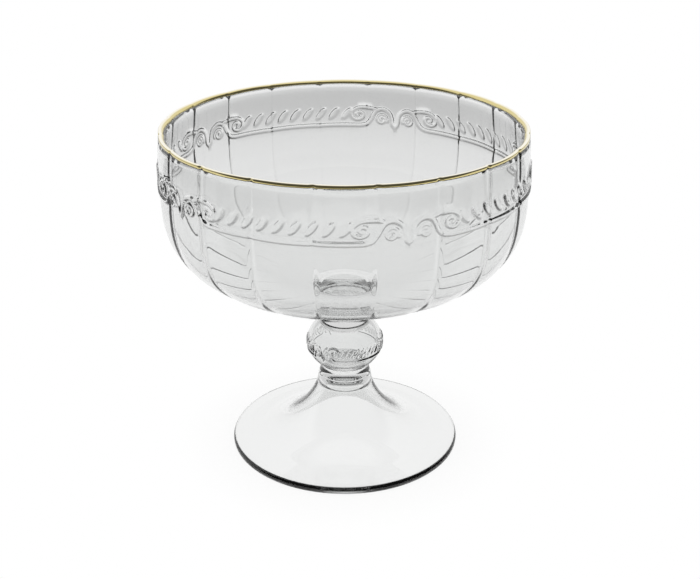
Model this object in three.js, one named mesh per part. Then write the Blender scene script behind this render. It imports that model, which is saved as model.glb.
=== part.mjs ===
// A footed dessert bowl of clear glass: a lobed bowl with a gilded lip, carried
// on a hollow flattened knop between two collars, over a flared hollow foot.
// The pieces are fused one on another, so each seats flat on the one below.
// Millimetres, +Z up, origin at the centre of the plane that the foot rests on.

import * as THREE from 'three';
import { mergeVertices } from 'three/addons/utils/BufferGeometryUtils.js';

// Foot
const FOOT_RADIUS = 41.2;
const FOOT_HEIGHT = 27.0; // resting plane to the seat of the foot collar
const FOOT_EDGE_HEIGHT = 2.7;
const FOOT_EDGE_ROUND = 1.25;
const FOOT_BRIM_WIDTH = 9.0; // gently sloping brim outside the flare
const FOOT_BRIM_SLOPE = 0.127; // rise for each millimetre towards the stem
const FOOT_REST_WIDTH = 3.0; // flat ring that meets the table
const FOOT_WALL = 3.08; // square to the flare
const FOOT_ROOF = 1.6; // glass left between the hollow and the seat of the collar
const HOLLOW_DOME = 3.4; // rise of the dome that closes the hollow inside the neck
const NECK_RADIUS = 9.4; // top of the flare, under the foot collar
const FLARE_POWER = 3.2; // how tightly the flare turns from neck to brim

// Stem
const FOOT_COLLAR_HEIGHT = 3.7;
const FOOT_COLLAR_WAIST = 8.8;
const KNOP_RADIUS = 13.9;
const KNOP_RISE = 10.9; // middle to the pole of the uncut knop
const KNOP_WALL = 2.0; // at the knop's girth
const KNOP_ROOF = 1.7; // glass left between the cavity and the seat of the bowl collar
const KNOP_SEAT_RADIUS = 8.7; // flat circle at each end of the knop
const CAVITY_RISE = 9.2; // middle to the pole of the uncut cavity
const BOWL_COLLAR_HEIGHT = 12.66;

// Bowl
const BOWL_RADIUS = 62.5; // widest girth, on the crests of the lobes
const BOWL_HEIGHT = 58.6; // seat on the bowl collar to the top of the lip
const BOWL_SEAT_RADIUS = 12.4;
const BELLY_DEPTH = 42.7; // widest girth down to the lowest point of the belly curve
const BELLY_POWER = 3.3; // how upright the belly stands near the girth
const FLOOR_POWER = 2.1; // how flat the belly lies near the axis
const INSIDE_BELLY_POWER = 3.5;
const INSIDE_FLOOR_POWER = 2.25;
const LIP_INSET = 0.85; // how far the wall leans in from the girth to the lip
const LIP_WALL = 2.85;
const GIRTH_WALL = 2.0;
const FLOOR_THICKNESS = 2.3;
const SHOULDER_DROP = 1.3; // rounding from the gilding's inner edge down to the inside wall

// Lobes
const LOBE_COUNT = 20;
const LOBE_BOW = 0.3; // how far a lobe bows out between its two grooves
const GROOVE_DEPTH = 0.32;
const GROOVE_HALF_WIDTH = 1.3;
const LOBE_FULL_RADIUS = 34.0; // the lobes fade out from here towards the seat
const LOBE_TURN = THREE.MathUtils.degToRad(0.5);

// Gilding on the lip
const GILDING_HEIGHT = 1.2;
const GILDING_WIDTH = 1.9;
const GILDING_ROUND = 0.45;

// Facets
const ROUND_FACETS = 48;
const FACETS_PER_LOBE = 6;
const FACET_PULL = 0.6; // how much closer together the facets lie at the grooves
const BELLY_STEPS = 12;
const WALL_STEPS = 4;
const SHOULDER_STEPS = 2;
const FLARE_STEPS = 14;
const ARC_STEPS = 3;
const DOME_STEPS = 4;
const KNOP_STEPS = 12;
const CAVITY_STEPS = 8;
const COLLAR_STEPS = 5;
const LIP_STEPS = 4;

// Finishes
const glass = new THREE.MeshStandardMaterial({
	color: 0xe4e6e5, roughness: 0.04, metalness: 0, transparent: true, opacity: 0.35,
});
const gold = new THREE.MeshStandardMaterial({ color: 0xc4a24e, roughness: 0.22, metalness: 1 });

// Heights of the seats, each piece standing on the one below
const knopHalfHeight = KNOP_RISE * Math.sqrt(1 - (KNOP_SEAT_RADIUS / KNOP_RADIUS) ** 2);
const footCollarSeat = FOOT_HEIGHT;
const knopSeat = footCollarSeat + FOOT_COLLAR_HEIGHT;
const bowlCollarSeat = knopSeat + 2 * knopHalfHeight;
const bowlSeat = bowlCollarSeat + BOWL_COLLAR_HEIGHT;

const quarter = Math.PI / 2;

function steps(count) {
	return Array.from({ length: count + 1 }, (_, i) => i / count);
}

function arc(centreR, centreZ, radius, fromDeg, toDeg, count) {
	return steps(count).map((t) => {
		const angle = THREE.MathUtils.degToRad(THREE.MathUtils.lerp(fromDeg, toDeg, t));
		return new THREE.Vector2(centreR + radius * Math.cos(angle), centreZ + radius * Math.sin(angle));
	});
}

function welded(geometry) {
	geometry.deleteAttribute('normal');
	geometry.deleteAttribute('uv');
	const solid = mergeVertices(geometry);
	solid.computeVertexNormals();
	return solid;
}

// Turns a profile of (radius, height) points round +Z.
function turned(profile) {
	const geometry = new THREE.LatheGeometry(profile, ROUND_FACETS);
	geometry.rotateX(quarter);
	return welded(geometry);
}

// Turns a profile into lobes that bow out between narrow grooves. The bow sinks as one
// minus a sine, a groove sinks as a bell, and both fade out towards the seat. depths
// holds the groove's depth at each profile point.
function lobed(profile, depths) {
	const facets = LOBE_COUNT * FACETS_PER_LOBE;
	const geometry = new THREE.LatheGeometry(profile, facets);
	const position = geometry.attributes.position;
	for (let i = 0; i < position.count; i++) {
		const point = profile[i % profile.length];
		const share = (Math.floor(i / profile.length) % facets) / FACETS_PER_LOBE;
		const lobes = share - (FACET_PULL * Math.sin(2 * Math.PI * share)) / (2 * Math.PI);
		const aside = Math.abs(lobes - Math.round(lobes));
		const across = (aside * 2 * Math.PI * BOWL_RADIUS) / LOBE_COUNT / GROOVE_HALF_WIDTH;
		const bell = Math.max(1 - across ** 2, 0) ** 2;
		const sink = LOBE_BOW * (1 - Math.sin(Math.PI * aside)) + depths[i % profile.length] * bell;
		const radius = point.x - sink * lobeFade(point.x);
		const angle = LOBE_TURN + ((lobes + 0.5) * 2 * Math.PI) / LOBE_COUNT;
		position.setXYZ(i, radius * Math.sin(angle), -radius * Math.cos(angle), point.y);
	}
	return welded(geometry);
}

function lobeFade(radius) {
	return (THREE.MathUtils.smoothstep(radius, BOWL_SEAT_RADIUS, LOBE_FULL_RADIUS) * radius) / BOWL_RADIUS;
}

function piece(name, geometry, material, seat) {
	const mesh = new THREE.Mesh(geometry, material);
	mesh.name = name;
	mesh.position.z = seat;
	return mesh;
}

// The foot: a deep hollow, a flat resting ring, a rounded edge, a sloping brim and a
// flare whose height over the brim and reach from the neck follow a superellipse. The
// hollow lies one wall square to the flare and closes in a half-oval dome inside the neck.
function footGeometry() {
	const edgeRadius = FOOT_RADIUS - FOOT_EDGE_ROUND;
	const hollowRadius = edgeRadius - FOOT_REST_WIDTH;
	const domeTop = FOOT_HEIGHT - FOOT_ROOF;
	const domeSeat = domeTop - HOLLOW_DOME;
	const flareReach = edgeRadius - FOOT_BRIM_WIDTH - NECK_RADIUS;
	const brimHeight = (r) => FOOT_EDGE_HEIGHT + FOOT_BRIM_SLOPE * (edgeRadius - r);
	const flareRise = FOOT_HEIGHT - brimHeight(NECK_RADIUS);

	const edge = [
		...arc(edgeRadius, FOOT_EDGE_ROUND, FOOT_EDGE_ROUND, -90, 0, ARC_STEPS),
		...arc(edgeRadius, FOOT_EDGE_HEIGHT - FOOT_EDGE_ROUND, FOOT_EDGE_ROUND, 0, 90, ARC_STEPS),
	];
	const flare = steps(FLARE_STEPS).map((t) => {
		const angle = (1 - t) * quarter;
		const r = NECK_RADIUS + flareReach * Math.sin(angle) ** FLARE_POWER;
		return new THREE.Vector2(r, brimHeight(r) + flareRise * Math.abs(Math.cos(angle)) ** FLARE_POWER);
	});
	const brimStart = edge.at(-1);
	const under = [brimStart, ...flare].map((point, i, line) => {
		const before = line[Math.max(i - 1, 0)];
		const after = line[Math.min(i + 1, line.length - 1)];
		const along = after.clone().sub(before).normalize();
		return new THREE.Vector2(point.x - FOOT_WALL * along.y, point.y + FOOT_WALL * along.x);
	});
	const hollow = [
		...steps(DOME_STEPS).map((t) => new THREE.Vector2(
			(NECK_RADIUS - FOOT_WALL) * Math.sin(quarter * t), domeSeat + HOLLOW_DOME * Math.cos(quarter * t))),
		...under.reverse().filter((point) => point.y < domeSeat && point.y > 0),
		new THREE.Vector2(hollowRadius, 0),
	];
	return turned([...hollow, ...edge, ...flare, new THREE.Vector2(0, FOOT_HEIGHT)]);
}

// The foot collar: flat ends that match the seats above and below, and a drawn-in waist.
function footCollarGeometry() {
	const pull = 2 * FOOT_COLLAR_WAIST - (NECK_RADIUS + KNOP_SEAT_RADIUS) / 2;
	const side = new THREE.QuadraticBezierCurve(
		new THREE.Vector2(NECK_RADIUS, 0), new THREE.Vector2(pull, FOOT_COLLAR_HEIGHT / 2),
		new THREE.Vector2(KNOP_SEAT_RADIUS, FOOT_COLLAR_HEIGHT));
	return turned([new THREE.Vector2(0, 0), ...side.getPoints(COLLAR_STEPS), new THREE.Vector2(0, FOOT_COLLAR_HEIGHT)]);
}

// The bowl collar: upright on the knop, flaring out to the bowl as a quarter oval.
function bowlCollarGeometry() {
	const flare = steps(COLLAR_STEPS).map((t) => new THREE.Vector2(
		THREE.MathUtils.lerp(BOWL_SEAT_RADIUS, KNOP_SEAT_RADIUS, Math.cos(quarter * t)),
		BOWL_COLLAR_HEIGHT * Math.sin(quarter * t)));
	return turned([new THREE.Vector2(0, 0), ...flare, new THREE.Vector2(0, BOWL_COLLAR_HEIGHT)]);
}

function oval(radius, rise, from, to, count) {
	return steps(count).map((t) => {
		const angle = THREE.MathUtils.lerp(from, to, t);
		return new THREE.Vector2(radius * Math.cos(angle), knopHalfHeight + rise * Math.sin(angle));
	});
}

// The knop: a flattened ball cut flat at both ends. Its cavity is a smaller one with a flat
// roof, and opens below, where the foot collar closes it.
function knopGeometry() {
	const roof = 2 * knopHalfHeight - KNOP_ROOF;
	const tilt = Math.asin(knopHalfHeight / KNOP_RISE);
	const cavity = oval(KNOP_RADIUS - KNOP_WALL, CAVITY_RISE,
		Math.asin((roof - knopHalfHeight) / CAVITY_RISE), -Math.asin(knopHalfHeight / CAVITY_RISE), CAVITY_STEPS);
	const ball = oval(KNOP_RADIUS, KNOP_RISE, -tilt, tilt, KNOP_STEPS);
	cavity.at(-1).y = 0;
	ball[0].y = 0;
	return turned([new THREE.Vector2(0, roof), ...cavity, ...ball, new THREE.Vector2(0, 2 * knopHalfHeight)]);
}

// Angle on the belly curve where the flat seat cuts it, and the girth's height over the seat.
const seatAngle = Math.asin((BOWL_SEAT_RADIUS / BOWL_RADIUS) ** (FLOOR_POWER / 2));
const girthHeight = BELLY_DEPTH * Math.cos(seatAngle) ** (2 / BELLY_POWER);
const gildingSeat = BOWL_HEIGHT - GILDING_HEIGHT;

// The belly curve: radius and depth below the girth follow a superellipse, and the
// angle runs from the axis (0) to the girth (a quarter turn).
function belly(radius, depth, angle, floorPower, bellyPower) {
	return new THREE.Vector2(
		radius * Math.sin(angle) ** (2 / floorPower),
		girthHeight - depth * Math.abs(Math.cos(angle)) ** (2 / bellyPower));
}

function wallRadius(height) {
	const lean = (height - girthHeight) / (BOWL_HEIGHT - girthHeight);
	return BOWL_RADIUS - LIP_INSET * lean * lean;
}

function insideRadius(height) {
	const share = THREE.MathUtils.smoothstep(height, girthHeight, gildingSeat);
	return wallRadius(height) - THREE.MathUtils.lerp(GIRTH_WALL, LIP_WALL, share);
}

// The bowl: the belly and the upright wall outside, the flat that carries the gilding, the
// rounding inside it, and the thinner inside curves.
function bowlGeometry() {
	const wallTop = gildingSeat - SHOULDER_DROP;
	const gildingEnd = wallRadius(gildingSeat) - GILDING_WIDTH;
	const outside = [
		...steps(BELLY_STEPS).map((t) => belly(
			BOWL_RADIUS, BELLY_DEPTH, THREE.MathUtils.lerp(seatAngle, quarter, t), FLOOR_POWER, BELLY_POWER)),
		...steps(WALL_STEPS).slice(1).map((t) => {
			const z = THREE.MathUtils.lerp(girthHeight, gildingSeat, t);
			return new THREE.Vector2(wallRadius(z), z);
		}),
	];
	const shoulder = steps(SHOULDER_STEPS).map((t) => new THREE.Vector2(
		THREE.MathUtils.lerp(gildingEnd, insideRadius(wallTop), Math.sin(quarter * t)),
		wallTop + SHOULDER_DROP * Math.cos(quarter * t)));
	const inside = [
		...steps(WALL_STEPS).slice(1, -1).map((t) => {
			const z = THREE.MathUtils.lerp(wallTop, girthHeight, t);
			return new THREE.Vector2(insideRadius(z), z);
		}),
		...steps(BELLY_STEPS).map((t) => belly(
			BOWL_RADIUS - GIRTH_WALL, BELLY_DEPTH - FLOOR_THICKNESS, quarter * (1 - t),
			INSIDE_FLOOR_POWER, INSIDE_BELLY_POWER)),
	];
	const profile = [new THREE.Vector2(0, 0), ...outside, ...shoulder, ...inside];
	return lobed(profile, profile.map((_, i) => (i <= outside.length ? GROOVE_DEPTH : 0)));
}

// The gilded lip: upright outside, rounded over the top and a quarter oval down inside. It
// follows the lobes, and the grooves fade out from its outer side to its inner.
function gildingGeometry() {
	const outer = wallRadius(gildingSeat);
	const crest = outer - GILDING_ROUND;
	const profile = [
		new THREE.Vector2(outer, 0),
		...arc(crest, GILDING_HEIGHT - GILDING_ROUND, GILDING_ROUND, 0, 90, ARC_STEPS),
		...steps(LIP_STEPS).slice(1).map((t) => new THREE.Vector2(
			crest - (GILDING_WIDTH - GILDING_ROUND) * Math.sin(quarter * t),
			GILDING_HEIGHT * Math.max(Math.cos(quarter * t), 0))),
	];
	profile.push(profile[0].clone());
	return lobed(profile, profile.map((point) => GROOVE_DEPTH * (1 - (outer - point.x) / GILDING_WIDTH)));
}

const stem = new THREE.Group();
stem.add(
	piece('foot_collar', footCollarGeometry(), glass, footCollarSeat),
	piece('stem_knop', knopGeometry(), glass, knopSeat),
	piece('bowl_collar', bowlCollarGeometry(), glass, bowlCollarSeat),
);

const cup = new THREE.Group();
cup.position.z = bowlSeat;
cup.add(
	piece('bowl', bowlGeometry(), glass, 0),
	piece('rim_gilding', gildingGeometry(), gold, gildingSeat),
);

const dessertBowl = new THREE.Group();
dessertBowl.name = 'dessert_bowl';
dessertBowl.add(piece('foot', footGeometry(), glass, 0), stem, cup);

export default dessertBowl;
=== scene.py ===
"""A footed dessert bowl of clear pressed glass with a gilded lip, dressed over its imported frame.

Shapes are worked out in millimetres and written to the meshes in metres.
An angle round the axis starts at the front, -Y, and grows towards +X.
"""
import math

import bpy
import numpy as np
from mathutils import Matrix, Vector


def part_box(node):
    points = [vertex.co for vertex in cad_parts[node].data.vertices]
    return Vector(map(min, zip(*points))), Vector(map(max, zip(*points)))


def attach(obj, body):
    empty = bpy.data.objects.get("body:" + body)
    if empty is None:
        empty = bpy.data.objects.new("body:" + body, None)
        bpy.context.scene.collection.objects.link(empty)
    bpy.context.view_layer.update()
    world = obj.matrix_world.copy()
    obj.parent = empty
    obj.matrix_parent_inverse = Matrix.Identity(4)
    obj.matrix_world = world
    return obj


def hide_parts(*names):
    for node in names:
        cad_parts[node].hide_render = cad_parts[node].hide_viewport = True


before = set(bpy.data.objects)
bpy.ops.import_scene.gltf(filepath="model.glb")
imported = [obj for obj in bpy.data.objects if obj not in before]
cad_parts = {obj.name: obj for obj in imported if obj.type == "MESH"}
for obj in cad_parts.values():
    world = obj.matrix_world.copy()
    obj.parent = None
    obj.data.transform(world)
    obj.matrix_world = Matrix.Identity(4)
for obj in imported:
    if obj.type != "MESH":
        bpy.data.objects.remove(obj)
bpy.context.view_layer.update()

MM = 0.001
QUARTER = math.pi / 2
FULL_TURN = 2 * math.pi
BODY = "root"


def heights(node):
    """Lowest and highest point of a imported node, in millimetres."""
    low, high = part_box(node)
    return low.z / MM, high.z / MM


# Heights that the frame gives
FOOT_TOP = heights("foot")[1]
KNOP_LOW, KNOP_HIGH = heights("stem_knop")
BOWL_SEAT = heights("bowl")[0]
GILDING_SEAT, LIP_TOP = heights("rim_gilding")

# Foot
FOOT_RADIUS = 41.2
FOOT_EDGE_HEIGHT = 2.7
FOOT_EDGE_ROUND = 1.25
FOOT_BRIM_WIDTH = 9.0
FOOT_BRIM_SLOPE = 0.127
FOOT_REST_WIDTH = 3.0
FOOT_WALL = 3.08
FOOT_ROOF = 1.6
HOLLOW_DOME = 3.4
NECK_RADIUS = 9.4
FLARE_POWER = 3.2

# Stem
FOOT_COLLAR_WAIST = 8.8
KNOP_RADIUS = 13.9
KNOP_SEAT_RADIUS = 8.7
KNOP_WALL = 2.0
KNOP_ROOF = 1.7
CAVITY_RISE = 9.2

# Bowl
BOWL_RADIUS = 62.5
BOWL_SEAT_RADIUS = 12.4
BELLY_DEPTH = 42.7
BELLY_POWER = 3.3
FLOOR_POWER = 2.1
LIP_INSET = 0.85
LIP_WALL = 2.85
GIRTH_WALL = 2.0
FLOOR_THICKNESS = 2.3
INSIDE_FLOOR_POWER = 2.25
INSIDE_BELLY_POWER = 3.5
FLOOR_MARK_RADIUS = 7.9
FLOOR_MARK_EDGE = 0.5
FLOOR_MARK_SINK = 0.16
FLOOR_MARK_CLEAR = 1.0
LOBE_COUNT = 20
LOBE_BOW = 0.3
GROOVE_DEPTH = 0.32
GROOVE_HALF_WIDTH = 1.3
LOBE_FULL_RADIUS = 44.0
LOBE_TURN = math.radians(0.5)
GILDING_WIDTH = 1.9
GILDING_ROUND = 0.45
GILDING_SINK = 0.03
SHOULDER_DROP = 1.3

# Frieze round the bowl: five scroll groups with a run of gadroons between each two
FRIEZE_FOOT = 100.4
FRIEZE_LOW = 99.6
FRIEZE_HIGH = 109.2
FRIEZE_BLEND = 1.4
FRIEZE_GROUPS = 5
FRIEZE_TURN = math.radians(18.0)
FRIEZE_PITCH = FULL_TURN * BOWL_RADIUS / FRIEZE_GROUPS
FRIEZE_RELIEF = 0.55
FRIEZE_LEANS = (-1, 1, -1, 1, 1)
FRIEZE_SHEAR = 0.62

# Belt round the knop: the same ornament, three groups, drawn smaller
BELT_FOOT = 36.2
BELT_GROUPS = 3
BELT_TURN = math.radians(-35.0)
BELT_TALL = 0.66
BELT_RELIEF = 0.4
BELT_SINK = 0.4
BELT_LEANS = (1, 1, 1)
BELT_SHEAR = 1.2

# One half of a scroll group, in millimetres right of its middle and above the frieze foot
BEAD_MIDDLE = 0.6
ARCH = [(-0.3, 0.0), (0.8, 1.2), (1.2, 3.2), (1.9, 5.4), (3.3, 6.8), (5.2, 7.4),
        (7.2, 6.8), (8.5, 5.2), (9.6, 3.0), (11.3, 1.2), (14.0, BEAD_MIDDLE)]
TENDRIL = [(7.0, 7.0), (10.5, 7.8), (14.4, 7.6), (16.8, 6.0), (16.7, 3.8), (14.9, 2.9),
           (12.9, 3.6), (12.6, 5.2), (13.9, 6.0), (15.1, 5.2), (14.6, 4.3)]
VOLUTE_MIDDLE = (5.3, 3.2)
VOLUTE_RADII = (2.3, 0.35)
VOLUTE_TURNS = 1.8
VOLUTE_START = math.radians(200.0)
BEAD_HALF_WIDTH = 1.05
SCROLL_HALF_WIDTH = 0.95
VOLUTE_HALF_WIDTH = 0.7
RIBBON_FLAT_SHARE = 0.3
GADROON_FIRST = 18.9
GADROON_GAPS = 8
GADROON_MIDDLE = 5.2
GADROON_HALF_HEIGHT = 2.8
GADROON_HALF_WIDTH = 1.65
GADROON_FLAT_SHARE = 0.6

# Rows and columns of the meshes
LOBE_COLUMNS = 16
FRIEZE_SPLIT = 5
FRIEZE_ROWS = 42
BELLY_ROWS = 32
WALL_ROWS = 5
SHOULDER_ROWS = 6
INSIDE_WALL_ROWS = 8
INSIDE_ROWS = 28
FLOOR_MARK_ROWS = 12
LIP_ROWS = 16
LIP_SPLIT = 2
COLUMN_PULL = 0.6
ROUND_COLUMNS = 240
KNOP_COLUMNS = 720
KNOP_ROWS = 84
CAVITY_ROWS = 30
FLARE_ROWS = 60
HOLLOW_ROWS = 80
EDGE_ROWS = 12
COLLAR_ROWS = 24
CURVE_POINTS = 4000


def smoothstep(value, low, high):
    """Smooth rise from 0 at low to 1 at high: 3 t squared minus 2 t cubed."""
    t = np.clip((value - low) / (high - low), 0, 1)
    return t * t * (3 - 2 * t)


def evenly(curve, count):
    """count + 1 points at even distances along a curve of (radius, height) points."""
    run = np.concatenate([[0], np.cumsum(np.hypot(*np.diff(curve, axis=0).T))])
    at = np.linspace(0, run[-1], count + 1)
    return np.stack([np.interp(at, run, curve[:, 0]), np.interp(at, run, curve[:, 1])], axis=1)


def arc(radius, height, size, start, end, count):
    """Points of a circular arc about (radius, height), its angle running from start to end."""
    angle = np.radians(np.linspace(start, end, count + 1))
    return np.stack([radius + size * np.cos(angle), height + size * np.sin(angle)], axis=1)


def smooth_path(points, steps=10):
    """A Catmull-Rom curve through the points, with its end points doubled."""
    p = np.array(points, float)
    p = np.vstack([p[:1], p, p[-1:]])
    t = np.linspace(0, 1, steps, endpoint=False)[None, :, None]
    a, b, c, d = p[:-3, None], p[1:-2, None], p[2:-1, None], p[3:, None]
    curve = b + 0.5 * t * (c - a + t * (2 * a - 5 * b + 4 * c - d + t * (3 * (b - c) + d - a)))
    return np.vstack([curve.reshape(-1, 2), p[-1:]])


def spiral(middle, radii, turns, start, count=60):
    """A spiral whose radius shrinks evenly from the first radius to the second over its turns."""
    t = np.linspace(0, 1, count)
    angle = start - FULL_TURN * turns * t
    radius = radii[0] + (radii[1] - radii[0]) * t
    return np.stack([middle[0] + radius * np.cos(angle), middle[1] + radius * np.sin(angle)], axis=1)


def ridge(path, half_width, along, above):
    """Height of a soft ribbon over a path: flat in the middle, falling smoothly to its half width."""
    height = np.zeros_like(along)
    low, high = path.min(0) - half_width, path.max(0) + half_width
    near = (along > low[0]) & (along < high[0]) & (above > low[1]) & (above < high[1])
    point = np.stack([along[near], above[near]], axis=1)[:, None]
    start, step = path[None, :-1], np.diff(path, axis=0)[None]
    share = np.clip(((point - start) * step).sum(2) / (step ** 2).sum(2), 0, 1)
    square = ((point - start - share[..., None] * step) ** 2).sum(2).min(1)
    height[near] = 1 - smoothstep(np.sqrt(square), RIBBON_FLAT_SHARE * half_width, half_width)
    return height


def ornament(along, above, pitch, leans, shear):
    """Relief of the running ornament, 0 to 1, at a distance along it and a height above its foot.

    It is the greatest of the ridges of a half scroll group, mirrored about the group's middle,
    and of sheared oval domes, the gadroons, spaced evenly between two groups.
    """
    local = np.mod(along, pitch)
    beside = np.minimum(local, pitch - local)
    bead = np.array([ARCH[-1], (pitch, BEAD_MIDDLE)])
    relief = ridge(np.vstack([smooth_path(ARCH), bead[1:]]), BEAD_HALF_WIDTH, beside, above)
    relief = np.maximum(relief, ridge(smooth_path(TENDRIL), SCROLL_HALF_WIDTH, beside, above))
    volute = spiral(VOLUTE_MIDDLE, VOLUTE_RADII, VOLUTE_TURNS, VOLUTE_START)
    relief = np.maximum(relief, ridge(volute, VOLUTE_HALF_WIDTH, beside, above))
    spacing = (pitch - 2 * GADROON_FIRST) / GADROON_GAPS
    lean = np.array(leans)[np.mod(np.floor(along / pitch), len(leans)).astype(int)]
    rise = above - GADROON_MIDDLE
    upright = local - lean * shear * rise
    nearest = np.clip(np.round((upright - GADROON_FIRST) / spacing), 0, GADROON_GAPS)
    across = upright - GADROON_FIRST - spacing * nearest
    reach = (across / GADROON_HALF_WIDTH) ** 2 + (rise / GADROON_HALF_HEIGHT) ** 2
    return np.maximum(relief, 1 - smoothstep(np.sqrt(reach), GADROON_FLAT_SHARE, 1))


def skin(rings, closed=False):
    """Joins rings of points, listed from below upwards outside, into one skin of outward faces.

    Neighbouring rings may have the same count, one point, or a whole multiple of the other's
    count; in the last case each long edge fans out to the short edges that face it.
    """
    counts = [len(ring) for ring in rings]
    firsts = np.concatenate([[0], np.cumsum(counts)])
    corners, sizes, bands = [], [], []
    last = len(rings) if closed else len(rings) - 1
    for i in range(last):
        k = (i + 1) % len(rings)
        low, high = firsts[i] + np.arange(counts[i]), firsts[k] + np.arange(counts[k])
        if counts[i] == counts[k]:
            faces = np.stack([low, np.roll(low, -1), np.roll(high, -1), high], axis=1)
        elif counts[i] < counts[k]:
            faces = fan(low, high)
        else:
            faces = fan(high, low)[:, ::-1]
        corners.append(faces.ravel())
        sizes.append(np.full(len(faces), faces.shape[1]))
        bands.append(np.full(len(faces), i))
    return np.vstack(rings), np.concatenate(corners), np.concatenate(sizes), np.concatenate(bands)


def fan(few, many):
    """Triangles between a ring of few points below and a ring of many points above it."""
    if len(few) == 1:
        return np.stack([np.full(len(many), few[0]), np.roll(many, -1), many], axis=1)
    split = len(many) // len(few)
    share = np.arange(len(many)) % split
    owner = np.arange(len(many)) // split
    owner = np.where(share < split // 2, owner, (owner + 1) % len(few))
    fans = np.stack([few[owner], np.roll(many, -1), many], axis=1)
    middle = many[split // 2::split]
    bridges = np.stack([few, np.roll(few, -1), middle], axis=1)
    return np.vstack([fans, bridges])


def make_piece(name, rings, materials, node, caps=(), flats=(), closed=False):
    """Writes the skin of some rings to a mesh piece that stands for a node.

    Bands named in caps are flat joint faces, and take the second material; flats are flat but bare.
    """
    points, corners, sizes, bands = skin(rings, closed)
    mesh = bpy.data.meshes.new(name)
    mesh.vertices.add(len(points))
    mesh.vertices.foreach_set("co", (points * MM).astype(np.float32).ravel())
    mesh.loops.add(len(corners))
    mesh.loops.foreach_set("vertex_index", corners.astype(np.int32))
    mesh.polygons.add(len(sizes))
    starts = np.concatenate([[0], np.cumsum(sizes)[:-1]])
    mesh.polygons.foreach_set("loop_start", starts.astype(np.int32))
    joint = np.isin(bands, [band % (bands.max() + 1) for band in caps])
    flat = np.isin(bands, [band % (bands.max() + 1) for band in (*caps, *flats)])
    mesh.polygons.foreach_set("use_smooth", ~flat)
    for material in materials:
        mesh.materials.append(material)
    mesh.polygons.foreach_set("material_index", joint.astype(np.int32))
    mesh.update(calc_edges=True)
    mesh.validate()
    piece = bpy.data.objects.new(name, mesh)
    bpy.context.scene.collection.objects.link(piece)
    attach(piece, BODY)
    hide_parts(node)
    return piece


def ring(radius, height, angle):
    """A ring of points at an angle round the axis, with a radius and a height that may vary."""
    height = np.broadcast_to(height, angle.shape)
    return np.stack([radius * np.sin(angle), -radius * np.cos(angle), height], axis=1)


def turned(profile, columns):
    """Rings of a turned piece; a profile point on the axis becomes a single point."""
    angle = FULL_TURN * np.arange(columns) / columns
    pole = np.zeros(1)
    return [ring(r, z, angle if r > 0 else pole) for r, z in profile]


# Foot
def foot_rings():
    """A deep hollow, a flat resting ring, a rounded edge, a sloping brim and a flare.

    The flare's reach from the neck goes as sine to a power and its rise over the brim as cosine.
    The hollow lies one wall square to that curve and closes in a half-oval dome below the neck.
    """
    edge_radius = FOOT_RADIUS - FOOT_EDGE_ROUND
    hollow_radius = edge_radius - FOOT_REST_WIDTH
    neck_bore = NECK_RADIUS - FOOT_WALL
    dome_seat = FOOT_TOP - FOOT_ROOF - HOLLOW_DOME
    reach = edge_radius - FOOT_BRIM_WIDTH - NECK_RADIUS
    rise = FOOT_TOP - FOOT_EDGE_HEIGHT - FOOT_BRIM_SLOPE * (edge_radius - NECK_RADIUS)
    low_edge = arc(edge_radius, FOOT_EDGE_ROUND, FOOT_EDGE_ROUND, -90, 0, EDGE_ROWS)
    high_edge = arc(edge_radius, FOOT_EDGE_HEIGHT - FOOT_EDGE_ROUND, FOOT_EDGE_ROUND, 0, 90, EDGE_ROWS)
    angle = np.linspace(QUARTER, 0, CURVE_POINTS)
    radius = NECK_RADIUS + reach * np.sin(angle) ** FLARE_POWER
    brim = FOOT_EDGE_HEIGHT + FOOT_BRIM_SLOPE * (edge_radius - radius)
    flare = np.stack([radius, brim + rise * np.abs(np.cos(angle)) ** FLARE_POWER], axis=1)
    flare = evenly(np.vstack([high_edge[-1:], flare]), FLARE_ROWS)
    along = np.gradient(flare, axis=0)
    square = np.stack([-along[:, 1], along[:, 0]], axis=1) / np.hypot(*along.T)[:, None]
    under = (flare + FOOT_WALL * square)[::-1]
    kept = (under[:, 1] < dome_seat) & (under[:, 1] > 0) & (under[:, 0] < hollow_radius)
    turn = np.linspace(0, QUARTER, CURVE_POINTS)
    dome = np.stack([neck_bore * np.sin(turn), dome_seat + HOLLOW_DOME * np.cos(turn)], axis=1)
    hollow = evenly(np.vstack([dome, under[kept], [[hollow_radius, 0]]]), HOLLOW_ROWS)
    profile = np.vstack([hollow, low_edge, high_edge, flare[1:], [[0, FOOT_TOP]]])
    return turned(profile, ROUND_COLUMNS)


# Stem
KNOP_MIDDLE = (KNOP_LOW + KNOP_HIGH) / 2
KNOP_HALF = (KNOP_HIGH - KNOP_LOW) / 2
KNOP_TILT = math.acos(KNOP_SEAT_RADIUS / KNOP_RADIUS)
CAVITY_RADIUS = KNOP_RADIUS - KNOP_WALL
KNOP_OPENING = CAVITY_RADIUS * math.sqrt(1 - (KNOP_HALF / CAVITY_RISE) ** 2)


def waisted(low, low_radius, waist, high, high_radius):
    """Points of a quadratic curve between two radii, pulled to the waist at half height."""
    t = np.linspace(0, 1, COLLAR_ROWS + 1)
    pull = 2 * waist - (low_radius + high_radius) / 2
    radius = (1 - t) ** 2 * low_radius + 2 * t * (1 - t) * pull + t ** 2 * high_radius
    return np.stack([radius, low + (high - low) * t], axis=1)


def foot_collar_rings():
    """A short solid collar with a drawn-in side, its top the floor of the knop's cavity."""
    side = waisted(FOOT_TOP, NECK_RADIUS, FOOT_COLLAR_WAIST, KNOP_LOW, KNOP_SEAT_RADIUS)
    top = [[KNOP_OPENING, KNOP_LOW], [0, KNOP_LOW]]
    return turned(np.vstack([[[0, FOOT_TOP]], side, top]), ROUND_COLUMNS)


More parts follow.
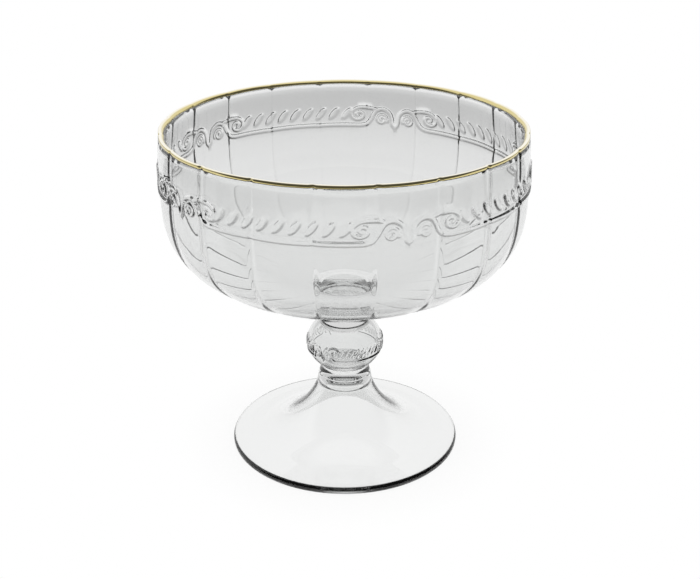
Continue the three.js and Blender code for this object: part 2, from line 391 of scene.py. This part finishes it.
def bowl_collar_rings():
    """A solid collar, upright on the knop, that flares out to the bowl as a quarter oval."""
    turn = np.linspace(0, QUARTER, COLLAR_ROWS + 1)
    side = np.stack([KNOP_SEAT_RADIUS + (BOWL_SEAT_RADIUS - KNOP_SEAT_RADIUS) * (1 - np.cos(turn)),
                     KNOP_HIGH + (BOWL_SEAT - KNOP_HIGH) * np.sin(turn)], axis=1)
    return turned(np.vstack([[[0, KNOP_HIGH]], side, [[0, BOWL_SEAT]]]), ROUND_COLUMNS)


def knop_rings():
    """A flattened ball cut flat at both ends, eased at its girth under a belt of raised ornament.

    Its radius goes as the cosine and its height as the sine of one angle. The cavity is a smaller
    one with a flat roof, and opens below, where the foot collar closes it.
    """
    angle = FULL_TURN * np.arange(KNOP_COLUMNS) / KNOP_COLUMNS
    lift = np.linspace(-KNOP_TILT, KNOP_TILT, KNOP_ROWS + 1)[:, None]
    height = KNOP_MIDDLE + KNOP_HALF * np.sin(lift) / math.sin(KNOP_TILT)
    belt_length = BELT_GROUPS * FRIEZE_PITCH
    along, above = np.broadcast_arrays((angle - BELT_TURN) * belt_length / FULL_TURN,
                                       (height - BELT_FOOT) / BELT_TALL)
    relief = BELT_RELIEF * ornament(along, above, FRIEZE_PITCH, BELT_LEANS, BELT_SHEAR)
    radius = (KNOP_RADIUS - BELT_SINK * np.cos(lift) ** 2 + relief) * np.cos(lift)
    outside = [ring(r, z, angle) for r, z in zip(radius, height[:, 0])]
    roof = KNOP_HIGH - KNOP_ROOF
    top = math.asin((roof - KNOP_MIDDLE) / CAVITY_RISE)
    turn = np.linspace(top, -math.asin(KNOP_HALF / CAVITY_RISE), CAVITY_ROWS + 1)
    cavity = zip(CAVITY_RADIUS * np.cos(turn), KNOP_MIDDLE + CAVITY_RISE * np.sin(turn))
    inside = [ring(r, z, angle) for r, z in cavity]
    pole = np.zeros(1)
    return [ring(0, roof, pole), *inside, *outside, ring(0, KNOP_HIGH, pole)]


# Bowl
SEAT_ANGLE = math.asin((BOWL_SEAT_RADIUS / BOWL_RADIUS) ** (FLOOR_POWER / 2))
GIRTH = BOWL_SEAT + BELLY_DEPTH * math.cos(SEAT_ANGLE) ** (2 / BELLY_POWER)


def belly(radius, depth, start, floor_power, belly_power):
    """Points of a superellipse from a start angle off the axis up to the girth."""
    angle = np.linspace(start, QUARTER, CURVE_POINTS)
    r = radius * np.sin(angle) ** (2 / floor_power)
    return np.stack([r, GIRTH - depth * np.abs(np.cos(angle)) ** (2 / belly_power)], axis=1)


def wall_radius(height):
    """Radius outside above the girth: it leans in by the square of the height over the girth."""
    return BOWL_RADIUS - LIP_INSET * ((height - GIRTH) / (LIP_TOP - GIRTH)) ** 2


def wall_thickness(height):
    """Thickness above the girth, growing smoothly from the girth to the lip."""
    return GIRTH_WALL + (LIP_WALL - GIRTH_WALL) * smoothstep(height, GIRTH, GILDING_SEAT)


def wall(low, high, count, inside=False):
    """Points of the upright wall from one height to another."""
    height = np.linspace(low, high, count)
    inset = wall_thickness(height) if inside else 0
    return np.stack([wall_radius(height) - inset, height], axis=1)


def shoulder(end):
    """Points of a quarter oval from the inner edge of the gilding down to the inside wall's end."""
    turn = np.linspace(0, QUARTER, SHOULDER_ROWS + 1)[:-1]
    start = wall_radius(GILDING_SEAT) - GILDING_WIDTH
    radius = start + (end[0] - start) * np.sin(turn)
    return np.stack([radius, end[1] + SHOULDER_DROP * np.cos(turn)], axis=1)


def lobe_angles(split):
    """Angles of the columns, drawn closer together at the grooves between the lobes."""
    count = LOBE_COLUMNS * split
    u = np.arange(count * LOBE_COUNT) / count
    pulled = u - COLUMN_PULL * np.sin(FULL_TURN * u) / FULL_TURN
    return LOBE_TURN + (pulled + 0.5) * FULL_TURN / LOBE_COUNT


def lobed(radius, height, depth, angle):
    """A ring of the bowl: lobes that bow out between narrow grooves, fading out towards the seat.

    The bow sinks as one minus the size of a cosine, and a groove sinks by its depth as a bell
    over its own half width.
    """
    swing = np.cos(LOBE_COUNT * (angle - LOBE_TURN) / 2)
    across = 2 * np.arcsin(np.abs(swing)) / LOBE_COUNT * BOWL_RADIUS
    bell = np.maximum(1 - (across / GROOVE_HALF_WIDTH) ** 2, 0) ** 2
    sink = LOBE_BOW * (1 - np.abs(swing)) + depth * bell
    fade = smoothstep(radius, BOWL_SEAT_RADIUS, LOBE_FULL_RADIUS) * radius / BOWL_RADIUS
    return ring(radius - sink * fade, height, angle)


def lobed_rings(profile, depth, angle):
    """A lobed ring for each point of a profile, with grooves of one depth."""
    return [lobed(r, z, depth, angle) for r, z in profile]


def frieze_rings(outside, angle):
    """Rings of the frieze band: the lobed wall, pushed out by the relief of the ornament."""
    along = (angle - FRIEZE_TURN) * BOWL_RADIUS
    rows = []
    for z in np.linspace(FRIEZE_LOW, FRIEZE_HIGH, FRIEZE_ROWS + 2)[1:-1]:
        radius = np.interp(z, outside[:, 1], outside[:, 0])
        above = np.full_like(along, z - FRIEZE_FOOT)
        relief = ornament(along, above, FRIEZE_PITCH, FRIEZE_LEANS, FRIEZE_SHEAR)
        rows.append(lobed(radius, z, GROOVE_DEPTH, angle) + ring(FRIEZE_RELIEF * relief, 0, angle))
    return rows


def marked_floor(inside):
    """Points of the inside from below the girth to the axis, with a shallow round mark in the floor.

    The mark sinks the floor by a smooth step of its radius, and has closer rows across its edge.
    """
    start = FLOOR_MARK_RADIUS + 2 * FLOOR_MARK_EDGE
    level = FLOOR_MARK_RADIUS - 2 * FLOOR_MARK_EDGE
    radius = np.linspace(start, level, FLOOR_MARK_ROWS)
    radius = np.append(radius, [level * 2 / 3, level / 3, 0])
    sink = FLOOR_MARK_SINK * smoothstep(radius, FLOOR_MARK_RADIUS + FLOOR_MARK_EDGE,
                                        FLOOR_MARK_RADIUS - FLOOR_MARK_EDGE)
    height = np.interp(radius, inside[::-1, 0], inside[::-1, 1]) - sink
    around = evenly(inside, INSIDE_ROWS)[1:]
    around = around[around[:, 0] > start + FLOOR_MARK_CLEAR]
    return np.vstack([around, np.stack([radius, height], axis=1)])


def bowl_rings():
    """Outside belly, frieze band in finer columns, wall, flat top under the gilding, and inside."""
    coarse, fine = lobe_angles(1), lobe_angles(FRIEZE_SPLIT)
    outside = np.vstack([belly(BOWL_RADIUS, BELLY_DEPTH, SEAT_ANGLE, FLOOR_POWER, BELLY_POWER),
                         wall(GIRTH, GILDING_SEAT, CURVE_POINTS)[1:]])
    below = evenly(outside[outside[:, 1] < FRIEZE_LOW - FRIEZE_BLEND], BELLY_ROWS)
    above = wall(FRIEZE_HIGH + FRIEZE_BLEND, GILDING_SEAT, WALL_ROWS)
    inside_wall = wall(GILDING_SEAT - SHOULDER_DROP, GIRTH, INSIDE_WALL_ROWS, True)
    inside_belly = belly(BOWL_RADIUS - GIRTH_WALL, BELLY_DEPTH - FLOOR_THICKNESS, 0,
                         INSIDE_FLOOR_POWER, INSIDE_BELLY_POWER)[::-1]
    floor = marked_floor(inside_belly)
    inside = np.vstack([shoulder(inside_wall[0]), inside_wall, floor[:-1]])
    pole = np.zeros(1)
    return [ring(0, BOWL_SEAT, pole),
            *lobed_rings(below, GROOVE_DEPTH, coarse),
            *frieze_rings(outside, fine),
            *lobed_rings(above, GROOVE_DEPTH, coarse),
            *lobed_rings(inside, 0, coarse),
            ring(0, floor[-1, 1], pole)]


def gilding_rings():
    """A cap let into the lip: upright outside, rounded over the top, a quarter oval down inside.

    The grooves' depth fades out from the outer side to the inner.
    """
    angle = lobe_angles(LIP_SPLIT)
    low = GILDING_SEAT - GILDING_SINK
    outer = wall_radius(GILDING_SEAT)
    crest = outer - GILDING_ROUND
    corner = arc(crest, LIP_TOP - GILDING_ROUND, GILDING_ROUND, 0, 90, LIP_ROWS // 2)
    turn = np.linspace(0, QUARTER, LIP_ROWS)[1:]
    fall = np.stack([crest - (GILDING_WIDTH - GILDING_ROUND) * np.sin(turn),
                     low + (LIP_TOP - low) * np.cos(turn)], axis=1)
    profile = np.vstack([[[outer, low]], corner, fall])
    depth = GROOVE_DEPTH * np.clip(1 - (outer - profile[:, 0]) / GILDING_WIDTH, 0, 1)
    return [lobed(r, z, d, angle) for (r, z), d in zip(profile, depth)]


# Finishes
GLASS_COLOUR = (0.885, 0.89, 0.887, 1.0)
GLASS_IOR = 1.52
COLLAR_IOR = 1.25
GLASS_WAVE_SIZE = 90.0
GLASS_WAVE_DETAIL = 1.0
GLASS_WAVE_BUMP = 0.05
GLASS_WAVE_RISE = 0.00012
WHITE = (1.0, 1.0, 1.0, 1.0)
# Painted light on the gold: a deep colour as painted shade on the lip's sides, a pale one as a painted
# highlight on its top, and the heights where each holds
GOLD_PAINTED_HIGHLIGHT = (0.95, 0.91, 0.79, 1.0)
GOLD_PAINTED_SHADE = (0.72, 0.62, 0.30, 1.0)
GOLD_SHADE_SHARE = 0.78
GOLD_HIGHLIGHT_SHARE = 0.97
GOLD_DRIFT_SIZE = 160.0
GOLD_DRIFT_DETAIL = 4.0
GOLD_ROUGHNESS = (0.06, 0.14)


def node_tools(tree):
    """Empties a node tree and gives a function that adds a node with its values set, and one that links."""
    tree.nodes.clear()

    def add(kind, **values):
        node = tree.nodes.new(kind)
        for key, value in values.items():
            setattr(node, key, value)
        return node

    return add, tree.links.new


def new_material(name):
    """A material with no nodes yet, and the tools that add and link its nodes."""
    material = bpy.data.materials.new(name)
    material.use_nodes = True
    add, link = node_tools(material.node_tree)
    return material, add, link


def glass_finish(name, colour, ior):
    """Clear pressed glass, hardly tinted, with the slow waves of a fire-polished surface."""
    material, add, link = new_material(name)
    output = add("ShaderNodeOutputMaterial")
    shader = add("ShaderNodeBsdfPrincipled")
    shader.inputs["Base Color"].default_value = colour
    shader.inputs["Transmission Weight"].default_value = 1.0
    shader.inputs["IOR"].default_value = ior
    shader.inputs["Roughness"].default_value = 0.0
    place = add("ShaderNodeTexCoord")
    waves = add("ShaderNodeTexNoise")
    waves.inputs["Scale"].default_value = GLASS_WAVE_SIZE
    waves.inputs["Detail"].default_value = GLASS_WAVE_DETAIL
    bump = add("ShaderNodeBump")
    bump.inputs["Strength"].default_value = GLASS_WAVE_BUMP
    bump.inputs["Distance"].default_value = GLASS_WAVE_RISE
    link(place.outputs["Object"], waves.inputs["Vector"])
    link(waves.outputs["Fac"], bump.inputs["Height"])
    link(bump.outputs["Normal"], shader.inputs["Normal"])
    link(shader.outputs["BSDF"], output.inputs["Surface"])
    return material


def joint_finish():
    """The inner face of a fused joint, where light passes straight from one piece to the next."""
    material, add, link = new_material("fused_joint")
    output = add("ShaderNodeOutputMaterial")
    clear = add("ShaderNodeBsdfTransparent")
    link(clear.outputs["BSDF"], output.inputs["Surface"])
    return material


def gold_finish():
    """Fired gilding: polished metal, with painted shade deepening the lip's sides and a painted highlight
    paling its top.
    """
    material, add, link = new_material("fired_gold")
    output = add("ShaderNodeOutputMaterial")
    shader = add("ShaderNodeBsdfPrincipled")
    shader.inputs["Metallic"].default_value = 1.0
    place = add("ShaderNodeTexCoord")
    axes = add("ShaderNodeSeparateXYZ")
    rise = add("ShaderNodeMapRange")
    rise.inputs["From Min"].default_value = GILDING_SEAT * MM
    rise.inputs["From Max"].default_value = LIP_TOP * MM
    # Painted light: by height alone, this ramp paints the lip's sides deep as shade and its top pale as a
    # highlight
    tone = add("ShaderNodeValToRGB")
    tone.color_ramp.elements[0].position = GOLD_SHADE_SHARE
    tone.color_ramp.elements[0].color = GOLD_PAINTED_SHADE
    tone.color_ramp.elements[1].position = GOLD_HIGHLIGHT_SHARE
    tone.color_ramp.elements[1].color = GOLD_PAINTED_HIGHLIGHT
    drift = add("ShaderNodeTexNoise")
    drift.inputs["Scale"].default_value = GOLD_DRIFT_SIZE
    drift.inputs["Detail"].default_value = GOLD_DRIFT_DETAIL
    polish = add("ShaderNodeMapRange")
    polish.inputs["To Min"].default_value = GOLD_ROUGHNESS[0]
    polish.inputs["To Max"].default_value = GOLD_ROUGHNESS[1]
    link(place.outputs["Object"], axes.inputs[0])
    link(axes.outputs["Z"], rise.inputs["Value"])
    link(rise.outputs["Result"], tone.inputs["Fac"])
    link(place.outputs["Object"], drift.inputs["Vector"])
    link(drift.outputs["Fac"], polish.inputs["Value"])
    link(tone.outputs["Color"], shader.inputs["Base Color"])
    link(polish.outputs["Result"], shader.inputs["Roughness"])
    link(shader.outputs["BSDF"], output.inputs["Surface"])
    return material


def make_bowl():
    """All six pieces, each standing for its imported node."""
    glass = glass_finish("clear_glass_pressed", GLASS_COLOUR, GLASS_IOR)
    joint, gold = joint_finish(), gold_finish()
    fused = (glass, joint)
    soft = (glass_finish("clear_glass_collar", WHITE, COLLAR_IOR), joint)
    make_piece("foot_glass", foot_rings(), fused, "foot", caps=(-1,))
    make_piece("foot_collar_glass", foot_collar_rings(), fused, "foot_collar",
               caps=(0, -2), flats=(-1,))
    make_piece("stem_knop_glass", knop_rings(), fused, "stem_knop",
               caps=(CAVITY_ROWS + 1, -1), flats=(0,))
    make_piece("bowl_collar_glass", bowl_collar_rings(), soft, "bowl_collar",
               caps=(0, -1))
    make_piece("bowl_glass", bowl_rings(), fused, "bowl", caps=(0,),
               flats=(BELLY_ROWS + FRIEZE_ROWS + WALL_ROWS + 1,))
    make_piece("rim_gilding_gold", gilding_rings(), (gold,), "rim_gilding",
               flats=(-1,), closed=True)


# Studio, in metres; a tone of 1 is white
FLOOR_SIZE = 6.0
FLOOR_COLOUR = (0.97, 0.97, 0.97, 1.0)
FLOOR_DROP = 0.00005
SHADOW_REACH = (0.042, 0.065)
SHADOW_LEAST = 0.9
POOL_REACH = (0.15, 0.65)
POOL_FAR_TONE = 0.55
HORIZON_EDGE = (0.05, 0.35)
LIT_FRONT = (-0.13, -0.07)
TURNED_ONCE = 0.5
TURNED_OFTEN = (0.0, 6.0)
TURNED_SKY_TONE = 0.75
LIT_SIDE = (0.30, 0.70)
LIT_AXIS = (-0.22, 0.94, 0.26)
LIT_EDGE = (0.15, 0.45)
TOP_LIGHT = (0.86, 0.94)
ROOM_TONE = 0.10
LIGHT_BOUNCES = 32
MIRROR_BOUNCES = 16


def ray_kind(add, link, *kinds):
    """1 for a ray of one of the kinds named, otherwise 0."""
    path = add("ShaderNodeLightPath")
    total = path.outputs[kinds[0]]
    for kind in kinds[1:]:
        total = combine(add, link, "MAXIMUM", total, path.outputs[kind])
    return total


def turned_back(add, link):
    """What is left of light that passed through glass: it fades out the more often glass turned it."""
    path = add("ShaderNodeLightPath")
    return smooth_range(add, link, path.outputs["Glossy Depth"], TURNED_OFTEN, (1.0, 0.0))


def was_turned(add, link):
    """1 for light that the glass turned back on its way, otherwise 0."""
    path = add("ShaderNodeLightPath")
    turned_once = add("ShaderNodeMath", operation="GREATER_THAN")
    turned_once.inputs[1].default_value = TURNED_ONCE
    link(path.outputs["Glossy Depth"], turned_once.inputs[0])
    return turned_once.outputs[0]


def blend(add, link, share, first, second):
    """A value between two others: the first at share 0, the second at share 1."""
    node = add("ShaderNodeMix", data_type="FLOAT")
    link(share, node.inputs["Factor"])
    link(first, node.inputs["A"])
    link(second, node.inputs["B"])
    return node.outputs["Result"]


def smooth_range(add, link, value, span, ends=(0.0, 1.0)):
    """A value carried smoothly from one end to the other over a span."""
    node = add("ShaderNodeMapRange", interpolation_type="SMOOTHSTEP")
    node.inputs["From Min"].default_value = span[0]
    node.inputs["From Max"].default_value = span[1]
    node.inputs["To Min"].default_value = ends[0]
    node.inputs["To Max"].default_value = ends[1]
    link(value, node.inputs["Value"])
    return node.outputs["Result"]


def combine(add, link, operation, first, second):
    """Two values joined by a math operation."""
    node = add("ShaderNodeMath", operation=operation)
    link(first, node.inputs[0])
    link(second, node.inputs[1])
    return node.outputs[0]


def make_floor():
    """A pale floor that keeps the shadow near the bowl and turns white further out.

    Through the glass it is a pool of light round the bowl, and white where glass turned the light.
    Mirrored in glass or gold, it is lit behind and beside the bowl and falls off to the tone of
    the room in front and far out at the sides.
    """
    material, add, link = new_material("pale_floor")
    output = add("ShaderNodeOutputMaterial")
    paint = add("ShaderNodeBsdfDiffuse")
    paint.inputs["Color"].default_value = FLOOR_COLOUR
    white = add("ShaderNodeEmission")
    white.inputs["Color"].default_value = WHITE
    place = add("ShaderNodeTexCoord")
    axes = add("ShaderNodeSeparateXYZ")
    link(place.outputs["Object"], axes.inputs[0])
    length = add("ShaderNodeVectorMath", operation="LENGTH")
    link(place.outputs["Object"], length.inputs[0])
    size = add("ShaderNodeMath", operation="ABSOLUTE")
    link(axes.outputs["X"], size.inputs[0])
    away = smooth_range(add, link, length.outputs["Value"], SHADOW_REACH, (SHADOW_LEAST, 1.0))
    straight = ray_kind(add, link, "Is Camera Ray")
    bent = ray_kind(add, link, "Is Glossy Ray", "Is Transmission Ray")
    share = combine(add, link, "MAXIMUM", combine(add, link, "MULTIPLY", away, straight), bent)
    passed = ray_kind(add, link, "Is Transmission Ray")
    front = smooth_range(add, link, axes.outputs["Y"], LIT_FRONT, (ROOM_TONE, 1.0))
    side = smooth_range(add, link, size.outputs[0], LIT_SIDE, (1.0, ROOM_TONE))
    pool = smooth_range(add, link, length.outputs["Value"], POOL_REACH, (1.0, POOL_FAR_TONE))
    mirrored = combine(add, link, "MINIMUM", front, side)
    seen = combine(add, link, "MAXIMUM", pool, was_turned(add, link))
    through = combine(add, link, "MULTIPLY", seen, turned_back(add, link))
    lit = blend(add, link, passed, mirrored, through)
    link(combine(add, link, "MAXIMUM", lit, straight), white.inputs["Strength"])
    mix = add("ShaderNodeMixShader")
    link(share, mix.inputs["Fac"])
    link(paint.outputs["BSDF"], mix.inputs[1])
    link(white.outputs["Emission"], mix.inputs[2])
    link(mix.outputs["Shader"], output.inputs["Surface"])
    half = FLOOR_SIZE / 2
    mesh = bpy.data.meshes.new("floor")
    corners = [(-half, -half, 0), (half, -half, 0), (half, half, 0), (-half, half, 0)]
    mesh.from_pydata(corners, [], [(0, 1, 2, 3)])
    mesh.materials.append(material)
    floor = bpy.data.objects.new("floor", mesh)
    floor.location.z = -FLOOR_DROP
    bpy.context.scene.collection.objects.link(floor)


def make_world():
    """White to the camera, over a dim room for glass and gold.

    Mirrored, it is lit behind the bowl and overhead. Through the glass it darkens upwards from
    the horizon, except overhead, and is paler where glass turned the light.
    """
    world = bpy.data.worlds.new("studio")
    world.use_nodes = True
    add, link = node_tools(world.node_tree)
    output = add("ShaderNodeOutputWorld")
    back = add("ShaderNodeBackground")
    back.inputs["Color"].default_value = WHITE
    place = add("ShaderNodeTexCoord")
    axes = add("ShaderNodeSeparateXYZ")
    link(place.outputs["Generated"], axes.inputs[0])
    facing = add("ShaderNodeVectorMath", operation="DOT_PRODUCT")
    facing.inputs[1].default_value = LIT_AXIS
    link(place.outputs["Generated"], facing.inputs[0])
    behind = smooth_range(add, link, facing.outputs["Value"], LIT_EDGE, (ROOM_TONE, 1.0))
    above = smooth_range(add, link, axes.outputs["Z"], TOP_LIGHT, (ROOM_TONE, 1.0))
    mirrored = combine(add, link, "MAXIMUM", behind, above)
    horizon = smooth_range(add, link, axes.outputs["Z"], HORIZON_EDGE, (POOL_FAR_TONE, ROOM_TONE))
    clear = combine(add, link, "MAXIMUM", horizon, above)
    dimmed = smooth_range(add, link, was_turned(add, link), (0.0, 1.0), (0.0, TURNED_SKY_TONE))
    seen = combine(add, link, "MAXIMUM", clear, dimmed)
    through = combine(add, link, "MULTIPLY", seen, turned_back(add, link))
    passed = ray_kind(add, link, "Is Transmission Ray")
    lit = blend(add, link, passed, mirrored, through)
    bent = ray_kind(add, link, "Is Glossy Ray", "Is Transmission Ray")
    mix = add("ShaderNodeMix", data_type="FLOAT")
    mix.inputs["A"].default_value = 1.0
    link(bent, mix.inputs["Factor"])
    link(lit, mix.inputs["B"])
    link(mix.outputs["Result"], back.inputs["Strength"])
    link(back.outputs["Background"], output.inputs["Surface"])
    bpy.context.scene.world = world


# Camera
CAMERA_PLACE = (0.001899, -0.39003, 0.23273)
CAMERA_TILT = 65.973
CAMERA_LENS = 62.08
CAMERA_SENSOR = 36.0
CAMERA_NEAR = 0.01


def make_camera():
    """The photograph's view, from above the front and looking down at the bowl."""
    data = bpy.data.cameras.new("camera")
    data.sensor_width = CAMERA_SENSOR
    data.lens = CAMERA_LENS
    data.clip_start = CAMERA_NEAR
    camera = bpy.data.objects.new("camera", data)
    camera.location = CAMERA_PLACE
    camera.rotation_euler = (math.radians(CAMERA_TILT), 0, 0)
    bpy.context.scene.collection.objects.link(camera)
    bpy.context.scene.camera = camera


def make_studio():
    """Floor, surroundings, camera and the light bounces that thick glass needs."""
    make_floor()
    make_world()
    make_camera()
    scene = bpy.context.scene
    scene.view_settings.view_transform = "Standard"
    scene.cycles.max_bounces = LIGHT_BOUNCES
    scene.cycles.transmission_bounces = LIGHT_BOUNCES
    scene.cycles.glossy_bounces = MIRROR_BOUNCES
    scene.cycles.transparent_max_bounces = LIGHT_BOUNCES


make_bowl()
make_studio()
